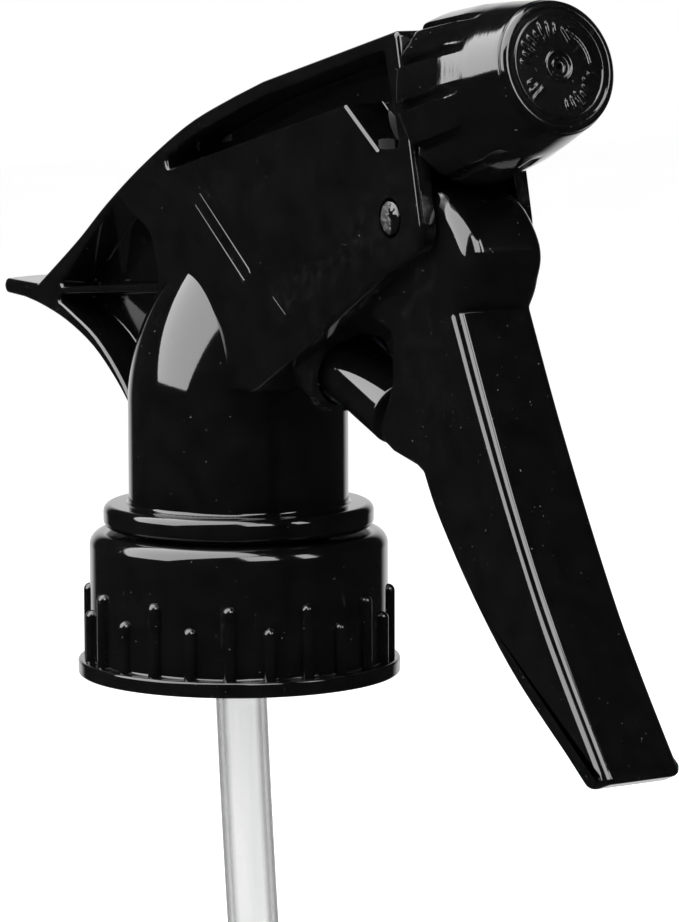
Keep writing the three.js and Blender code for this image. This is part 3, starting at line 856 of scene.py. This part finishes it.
def make_nut(material):
    """The closure nut: a turned shell, rounded part by part, with its ribs and its thread."""
    bore = 14.3
    hole_radius = 10.4
    web = NUT_TOP - 1.1
    rim_top = NUT_BOTTOM + RIM_HEIGHT
    foot = [(bore, NUT_BOTTOM), (RIM_RADIUS, NUT_BOTTOM), (RIM_RADIUS, rim_top), (NUT_RADIUS, rim_top),
            (NUT_RADIUS, rim_top + 3)]
    foot = rounded(foot, 0.28, 4, closed=False)
    shoulder = [(NUT_RADIUS, -2), (NUT_RADIUS, NUT_TOP), (hole_radius, NUT_TOP)]
    shoulder = rounded(shoulder, 1.6, 10, closed=False)
    hole = [(12, NUT_TOP), (hole_radius, NUT_TOP), (hole_radius, web), (12, web)]
    hole = rounded(hole, 0.3, 3, closed=False)
    inside = rounded([(12, web), (bore, web), (bore, NUT_BOTTOM), (16, NUT_BOTTOM)], 0.35, 3, closed=False)
    profile = [*foot[1:-1], *shoulder[:-1], *hole[1:-1], *inside[1:-1]]
    nut = turned("closure_moulding", profile, 192, closed=True)
    ribs = joined("ribs", [nut_rib(index) for index in range(RIB_COUNT)])
    combine(nut, "UNION", [ribs])
    sleeve = turned("sleeve", rod_profile(bore + 0.6, NUT_BOTTOM - 1, web), 96)
    combine(nut, "UNION", [combine(nut_thread(bore), "INTERSECT", [sleeve])])
    tidied(nut)
    return fit(nut, "nut", "closure_nut", material)


# ---- Trigger and pump ----


def trigger_front():
    """Front face of the trigger, from its head down to the finger tip."""
    head = [(45.0, 44.0), (48.6, 42.3), (51.3, 39.2), (51.9, 36.5), (50.8, 33.6), KNUCKLE]
    lever = [KNUCKLE, (50.4, 29.6), (53.8, 22.6), (58.6, 13.4), (64.0, 4.0), (68.9, -3.4), (75.3, -12.2)]
    return [*smooth(head, 22), *smooth(lever, 30)[1:]]


def trigger_rear():
    """Rear edge of the trigger's side walls, from the tip up past the pump rod to the head."""
    sweep = smooth([(68.6, -10.4), (59.7, -3.8), (52.4, 3.3), (46.2, 10.7), (43.6, 14.9)], 18)
    notch = [(42.4, 15.5), (38.0, 16.5), (36.6, 17.2), (35.5, 18.5), (36.2, 20.0), (37.4, 21.9),
             (37.9, 23.8), (37.9, 28.8), (33.3, 30.1), (34.6, 33.5)]
    return [(72.3, -13.4), *sweep, *notch, *arc(PIVOT.x, PIVOT.z, 4.4, 215, 75, 14)]


def trigger_rounding(point):
    """Edge radius of the trigger's side faces: generous in front, most of all on its head, small behind."""
    x, z = point
    rear, lever, head = 0.35, 1.15, 1.9
    knuckle_x, knuckle_z = KNUCKLE
    front_x = knuckle_x + (knuckle_z - z) * 0.56 if z < knuckle_z else 47
    ahead = clamp((x - front_x + 3.2) / 2.4)
    front = lever + (head - lever) * clamp((z - knuckle_z) / 3)
    return rear + (front - rear) * ahead


def trigger_channel():
    """The room inside the trigger's channel, behind its front wall and open to the rear."""
    wall = 1.9
    inner = [(x - wall, z - 0.4) for x, z in trigger_front() if -9.5 < z < 40]
    return [(30, 46), (39, 46), (45.2, 42.0), *inner, (62, -20), (30, -6)]


def trigger_web():
    """The slotted web across the channel, which the rod's head hooks onto."""
    web_at = 14.8
    thickness = 1.4
    slot_half = 2.4
    to_rod = PUMP_MOUTH + PUMP_AXIS * web_at - PIVOT
    reach = to_rod.length
    place = along(PIVOT, to_rod.normalized())
    half = TRIGGER_HALF_WIDTH - 0.5
    web = slab("web", box_outline(thickness / 2, reach - 5.1, reach + 3.9), -half, half, 0.2, 0.2, 3)
    web.data.transform(place)
    slot = slab("slot", box_outline(thickness, reach - 2.9, reach + 6.1), -slot_half, slot_half)
    slot.data.transform(place)
    return combine(web, "DIFFERENCE", [slot])


def box_outline(half, bottom, top):
    """A plain rectangle, as an outline."""
    return [(-half, bottom), (half, bottom), (half, top), (-half, top)]


def channel_rim(a, b):
    """True for the channel's open edges along the trigger's rear."""
    inner = TRIGGER_HALF_WIDTH - TRIGGER_WALL
    return all(abs(abs(p.y) - inner) < 0.02 for p in (a, b))


def trigger_outline():
    """The trigger's whole side outline, with its sharp corners eased."""
    return rounded([*trigger_front(), *trigger_rear()], 1.3, 6, least_turn=20)


def make_trigger(material):
    """The trigger: a channel with a web across it, and a hole for its pin."""
    half = TRIGGER_HALF_WIDTH
    lever = slab("trigger_lever", trigger_outline(), -half, half, trigger_rounding, trigger_rounding, 7)
    inner = half - TRIGGER_WALL
    channel = slab("channel", trigger_channel(), -inner, inner)
    margin = 0.3
    within = inset(counter_clockwise(trigger_outline()), [margin] * len(trigger_outline()))
    web = combine(trigger_web(), "INTERSECT", [slab("bound", within, -half, half)])
    combine(lever, "DIFFERENCE", [channel])
    soften(lever, channel_rim, 0.25, 3)
    combine(lever, "UNION", [web])
    combine(lever, "DIFFERENCE", [pin_hole()])
    tidied(lever)
    return fit(lever, "lever", "trigger", material)


def make_pin(material):
    """The trigger's pin, with the torn ends that its runner left."""
    radius = 1.75
    half = 7.4
    crown, shoulder = 0.25, 0.45
    torn_off, unevenness, grain = 0.16, 0.09, 1.7
    profile = [(0, -half)]
    profile += [(radius * share, -half + crown * share**2) for share in (0.2, 0.4, 0.6, 0.8, 0.93)]
    profile += [(radius, -half + shoulder), (radius, half - shoulder)]
    profile += [(r, -h) for r, h in profile[-3:0:-1]]
    profile.append((0, half))
    pin = turned("pivot_pin", profile, 40)
    for vertex in pin.data.vertices:
        place = vertex.co / MM
        out = clamp((abs(place.z) - half + 0.6) / 0.4)
        uneven = noise.noise(Vector((place.x * grain, place.y * grain, math.copysign(5, place.z))))
        vertex.co.z -= math.copysign((torn_off + unevenness * uneven) * out * MM, place.z)
    pin.data.transform(ON_PIVOT)
    return fit(pin, "head", "trigger_pin", material, 50)


def make_rod(material):
    """The hollow piston rod, with the waist and head that the trigger's web hooks onto."""
    rear = -10.0
    bore, bore_end = 2.5, 6
    stem, waist, head = 3.7, 2.0, 2.9
    shaft = [(bore, rear), (3.25, rear), (3.25, rear + 7), (stem, rear + 7), (stem, 10.2)]
    hook = [(waist, 10.2), (waist, 16.3), (head, 16.6), (head, 17.4), (1.8, 18.6), (0, 19)]
    outside = rounded([*shaft, *hook], 0.35, 4, closed=False)
    rod = turned("piston_stem", [(0, bore_end), (bore, bore_end), *outside], 80, ON_PUMP)
    return fit(rod, "piston", "piston_rod", material)


def make_return_spring(material):
    """The pump's coil spring."""
    rear, front = -21.7, 5.7
    coil_radius = 1.8
    wire = 0.35
    turns = 11
    steps_per_turn = 32
    up = Vector((0, 0, 1))
    rings = []
    for i in range(turns * steps_per_turn + 1):
        share = i / (turns * steps_per_turn)
        turn = 2 * math.pi * turns * share
        outward = Vector((math.cos(turn), math.sin(turn), 0))
        centre = outward * coil_radius + up * (rear + wire + (front - rear - 2 * wire) * share)
        rings.append(circle(centre, outward, up, wire, 12))
    spring = rings_to_object("pump_spring", rings)
    spring.data.transform(ON_PUMP)
    fit(spring, "head", "return_spring", material)
    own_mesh(spring)


# ---- Dip tube ----


def tube_point(down):
    """A point on the tube's middle line, which leaves the socket upright and then bows forward."""
    upright, settle, slope, bow = 9.5, 3, 0.06, 0.0007
    free = max(0, down - upright)
    lean = slope * (free - settle * (1 - math.exp(-free / settle)))
    return Vector((lean + bow * free * free, 0, TUBE_TOP - down))


def make_tube(material):
    """The dip tube, with a real bore and its foot cut on the slant."""
    steps = 120
    sideways = Vector((0, 1, 0))
    outside, inside = [], []
    for i in range(steps + 1):
        down = TUBE_LENGTH * i / steps
        run = (tube_point(down + 0.5) - tube_point(down - 0.5)).normalized()
        across = sideways.cross(run)
        outside.append(circle(tube_point(down), across, sideways, TUBE_RADIUS, 40))
        inside.append(circle(tube_point(down), across, sideways, TUBE_BORE_RADIUS, 40))
    tube = rings_to_object("clear_dip_tube", [*outside, *inside[::-1]], joined_ends=True)
    knife = slab("knife", box_outline(40, -30, 30), -15, 15)
    below_foot = Matrix.Translation(Vector((20, 0, -208)) * MM)
    slant = Matrix.Rotation(0.5, 4, "Y")
    knife.data.transform(below_foot @ slant)
    combine(tube, "DIFFERENCE", [knife])
    return fit(tube, "head", "dip_tube", material, 40)


# ---- Nozzle cap ----


def fade(distance, flat, soft):
    """1 up to a distance, falling smoothly to 0 over a soft edge."""
    share = clamp(1 - (distance - flat) / soft)
    return share * share * (3 - 2 * share)


def crown_line(s):
    """A broken line through the radii of the lobes' tops, at a height along the nozzle axis."""
    knots = ((0, 9.1), (2.4, 8.97), (8.5, 8.38), (12.5, 7.75), (17.2, 6.8), (20, 6.2))
    for (low, wide), (high, narrow) in zip(knots, knots[1:]):
        if s <= high:
            return wide + (narrow - wide) * (s - low) / (high - low)
    return knots[-1][1]


def cap_radius(s, angle):
    """Outer radius of the cap: flat-topped lobes with narrow creases that run out towards the front."""
    rear_drop = 1.1
    valley = 8.0 - 0.01 * s
    half_top, slope, flatness = 0.34, 0.15, 0.6
    near = (-0.6, -0.3, 0, 0.3, 0.6)
    crown = sum(crown_line(s + step) for step in near) / len(near)
    behind = clamp((CAP_REAR + CAP_REAR_ROUND - s) / CAP_REAR_ROUND)
    crown -= rear_drop * (1 - math.sqrt(1 - behind**2))
    depth = max(0, crown - valley)
    pitch = 2 * math.pi / LOBE_COUNT
    off = abs(((angle - LOBE_PHASE) / pitch + 0.5) % 1 - 0.5)
    crease = 1 - fade(off, half_top, slope)
    flat = flatness * crown * (1 / math.cos(off * pitch) - 1) * min(1, 2 * depth)
    return crown + flat * (1 - crease) - depth * crease


def cap_rim():
    """The cap's front rim: a fine groove behind the face and a small chamfer."""
    groove = [(6.85, 16.9), (6.65, 17.0), (6.65, 17.2), (6.72, 17.3)]
    rim = [(6.6, 17.6), (6.35, 17.85), (5.9, 17.85), (CAP_FACE_RADIUS, CAP_FACE)]
    return rounded([*groove, *rim], 0.08, 3, closed=False)


def cap_inside():
    """The cap's bore, from the spray hole back to its rear rim."""
    bore, seal_groove = 5.95, 6.3
    return [(SPRAY_HOLE_RADIUS, 16.2), (2.7, 16.2), (2.7, 14.1), (4.9, 14.1), (bore, 13.4), (bore, 10.05),
            (seal_groove, 10.0), (seal_groove, 8.6), (bore, 8.55), (bore, CAP_REAR)]


def on_face(radius, angle):
    """A point on the cap's face, from its distance to the axis and its angle in degrees."""
    return Vector(polar(radius, math.radians(angle), 0)).xy


def face_strokes():
    """Generic marks on the face, as pairs of points: a curved arrow, and groups of ticks."""
    radius = 3.85
    shaft = [on_face(radius, angle) for angle in range(93, 160, 8)]
    strokes = list(zip(shaft, shaft[1:]))
    for reach in (-0.8, 0.8):
        strokes.append((on_face(radius + reach, 147), on_face(radius, 164)))
    for start, end, count in ((178, 262, 8), (292, 312, 3), (5, 76, 7)):
        for k in range(count):
            angle = start + (end - start) * k / (count - 1)
            reach = 0.3 + 0.22 * (k % 3)
            strokes.append((on_face(radius - reach, angle), on_face(radius + reach, angle)))
    return strokes


def to_stroke(point, stroke):
    """Distance from a point to a stroke's middle line."""
    start, end = stroke
    run = end - start
    share = min(max((point - start).dot(run) / run.length_squared, 0), 1)
    return (point - start - run * share).length


def face_level(point, strokes):
    """Height of the cap's face: two raised rings, a sunk middle with a third ring in it, and the marks."""
    radius = point.length
    level = CAP_FACE + 0.12 * fade(abs(radius - 5.22), 0.05, 0.1)
    level += 0.13 * fade(abs(radius - 1.5), 0.08, 0.12)
    level += 0.12 * (fade(abs(radius - 0.72), 0.04, 0.12) - fade(radius, 1.2, 0.2))
    if 2.6 < radius < 5:
        level += 0.1 * fade(min(to_stroke(point, stroke) for stroke in strokes), 0.1, 0.12)
    return level


def cap_skin():
    """The cap as one grid of rings about its axis: fluted outside, rim, face and bore."""
    rear_rings, side_rings, face_rings = 9, 56, 72
    turns = [2 * math.pi * k / CAP_SEGMENTS for k in range(CAP_SEGMENTS)]
    quarter = [math.pi / 2 * k / (rear_rings - 1) for k in range(rear_rings)]
    rear = [CAP_REAR + CAP_REAR_ROUND * (1 - math.cos(angle)) for angle in quarter]
    side = [rear[-1] + 0.25 * k for k in range(1, side_rings + 1)]
    strokes = face_strokes()
    rings = []
    for s in [*rear, *side]:
        rings.append([polar(cap_radius(s, turn), turn, s) for turn in turns])
    for radius, s in cap_rim():
        rings.append([polar(radius, turn, s) for turn in turns])
    for k in range(1, face_rings + 1):
        radius = CAP_FACE_RADIUS - (CAP_FACE_RADIUS - SPRAY_HOLE_RADIUS) * k / face_rings
        places = [Vector(polar(radius, turn, 0)).xy for turn in turns]
        rings.append([(place.x, place.y, face_level(place, strokes)) for place in places])
    for radius, s in cap_inside():
        rings.append([polar(radius, turn, s) for turn in turns])
    return rings_to_object("fluted_cap", rings, joined_ends=True)


def make_cap(material):
    """The nozzle cap, set on the nozzle's axis."""
    cap = cap_skin()
    cap.data.transform(ON_NOZZLE)
    return fit(cap, "nozzle", "nozzle_cap", material, 34)


# ---- Inner pieces ----


def dress_inner_nodes(materials):
    """The inner CAD nodes keep their shapes and get smooth shading and their real finishes."""
    for name, material in materials.items():
        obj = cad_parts[name]
        obj.data.materials.clear()
        obj.data.materials.append(material)
        shade(obj, 40)


# ---- Studio ----


def aim(obj, target, roll=0.0):
    """Turns an object's -Z towards a point, in metres."""
    direction = Vector(target) - obj.location
    turn = direction.to_track_quat("-Z", "Y").to_matrix().to_4x4()
    obj.rotation_mode = "QUATERNION"
    obj.rotation_quaternion = (turn @ Matrix.Rotation(roll, 4, "Z")).to_quaternion()


def add_camera():
    """A long lens half a metre away, to the front right of the head and a little above it."""
    data = bpy.data.cameras.new("camera")
    camera = placed("camera", data)
    looking_at = (0.00606, 0.00936, 0.01097)
    roll = math.radians(-0.16)
    camera.location = (0.43906, -0.27130, 0.07854)
    data.lens = 184.2
    data.clip_start = 0.01
    data.clip_end = 20
    aim(camera, looking_at, roll)
    bpy.context.scene.camera = camera


def heading(azimuth, elevation):
    """A unit vector from an azimuth and an elevation in degrees."""
    turn, rise = math.radians(azimuth), math.radians(elevation)
    return Vector((math.cos(turn) * math.cos(rise), math.sin(turn) * math.cos(rise), math.sin(rise)))


def soft_light(name, location, facing, width, height, brightness):
    """A rectangular soft light that the camera doesn't see, facing along a vector."""
    data = bpy.data.lights.new(name, "AREA")
    data.shape = "RECTANGLE"
    data.size = width
    data.size_y = height
    data.energy = brightness * math.pi * width * height
    light = placed(name, data)
    light.location = location
    aim(light, location + facing)
    light.visible_camera = False
    return light


def add_world():
    """A white surround for the eye, bright behind the object and dim in front of it for its reflections."""
    world = bpy.data.worlds.new("studio")
    bpy.context.scene.world = world
    n = Nodes(world, "Background", "Generated")
    n.shader.inputs["Color"].default_value = (1, 1, 1, 1)
    ray = n.tree.nodes.new("ShaderNodeLightPath").outputs
    behind = n.height_along((-0.832, 0.540, -0.13))
    bright = n.spread(behind, 0.80, 0.93, 0.02, 1.0, "SMOOTHSTEP")
    through = n.math("MULTIPLY", ray["Is Transmission Ray"], n.spread(behind, 0.3, 0.8, 0.3, 1.0))
    seen = n.math("MAXIMUM", ray["Is Camera Ray"], through)
    n.join(n.math("MAXIMUM", bright, seen), n.shader.inputs["Strength"])


def add_floor(material):
    """A wide pale floor just under the dip tube's foot, which only the camera and soft light meet."""
    size = 3.0
    low = cad_box[0].z - 0.004
    made = bmesh.new()
    bmesh.ops.create_grid(made, x_segments=8, y_segments=8, size=size)
    mesh = bpy.data.meshes.new("floor")
    made.to_mesh(mesh)
    made.free()
    floor = placed("floor", mesh)
    floor.location.z = low
    floor.data.materials.append(material)
    floor.visible_glossy = False
    floor.visible_transmission = False


def add_studio():
    """A sloping panel on the left that reaches overhead, and smaller ones in front and on the right.

    Each stands a metre from the middle of the head. Widths and heights are in metres."""
    bpy.context.scene.view_settings.view_transform = "Standard"
    add_world()
    add_floor(studio_floor_material())
    middle = Vector((0.005, -0.009, 0.026))
    up = Vector((0, 0, 1))
    left = heading(-106.5, 0)
    slope = math.radians(66)
    width, length = 0.70, 1.15
    foot = middle + left + up * 0.075
    rise = up * math.cos(slope) - left * math.sin(slope)
    facing = -left * math.cos(slope) - up * math.sin(slope)
    soft_light("left_panel", foot + rise * length / 2, facing, width, length, 7.8)
    front, right = heading(-8, 37), heading(27, 32)
    soft_light("front_panel", middle + front, -front, 0.57, 0.61, 8.5)
    soft_light("right_panel", middle + right, -right, 0.21, 0.5, 8.5)


add_camera()
black = gloss_black()
make_body(black)
make_nut(gloss_black("gloss_black_nut", 0.05, 0.05))
make_trigger(black)
make_pin(rough_black())
make_rod(black)
make_tube(clear_tube())
make_cap(gloss_black("gloss_black_cap", turned_about=NOZZLE_AXIS))
natural = natural_plastic()
wire = steel("drawn_steel", 0.22, 0.36)
ground = steel("ground_steel", 0.08, 0.16)
make_return_spring(wire)
dress_inner_nodes({
    "tube_holder": natural,
    "ball_cage": natural,
    "piston_seal": natural,
    "swirl_core": natural,
    "neck_gasket": foam(),
    "inlet_ball": ground,
    "outlet_ball": ground,
    "outlet_spring": wire,
    "nozzle_seal": seal_rubber(),
})
add_studio()
